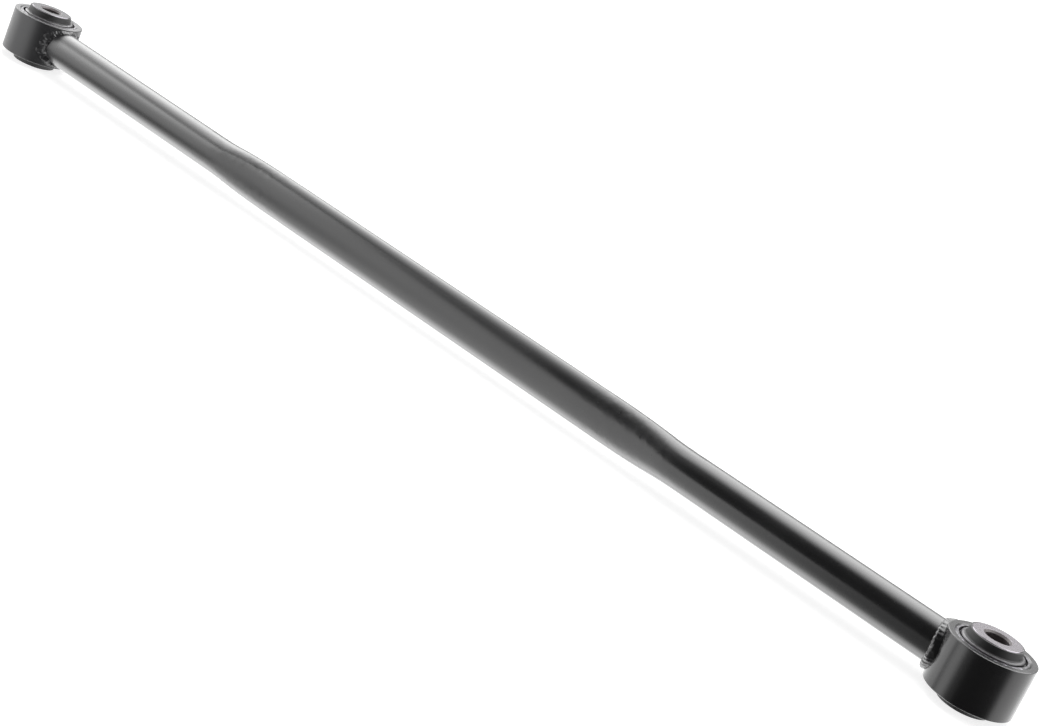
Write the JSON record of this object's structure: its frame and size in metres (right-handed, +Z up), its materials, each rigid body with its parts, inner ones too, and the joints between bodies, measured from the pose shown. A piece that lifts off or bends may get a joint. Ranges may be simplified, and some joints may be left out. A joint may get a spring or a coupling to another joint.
{
  "type": "panhard rod",
  "caption": "Straight steel panhard rod: a tube pressed oval along its middle, with a welded eye and a bonded rubber bush at each end.",
  "frame": {"origin": "midway between the two eyes, on the tube's axis", "axes": "+X along the rod from eye a to eye b, +Z up along the eyes' axes, +Y across the rod"},
  "size_m": [1.06, 0.06, 0.049],
  "materials": {
    "painted_steel": "gloss black paint over steel, wet-looking over the weld beads",
    "outer_sleeve_steel": "black paint, worn to grey on the rims",
    "bush_rubber": "matt moulded black rubber",
    "inner_sleeve_steel": "cut steel faces, light grey and finely scored"
  },
  "bodies": {
    "root": {"tube": "painted_steel", "eye_a": "painted_steel", "eye_b": "painted_steel", "weld_a": "painted_steel", "weld_b": "painted_steel", "bush_outer_sleeve_a": "outer_sleeve_steel", "bush_outer_sleeve_b": "outer_sleeve_steel", "bush_rubber_a": "bush_rubber", "bush_rubber_b": "bush_rubber", "bush_inner_sleeve_a": "inner_sleeve_steel", "bush_inner_sleeve_b": "inner_sleeve_steel"}
  },
  "joints": []
}
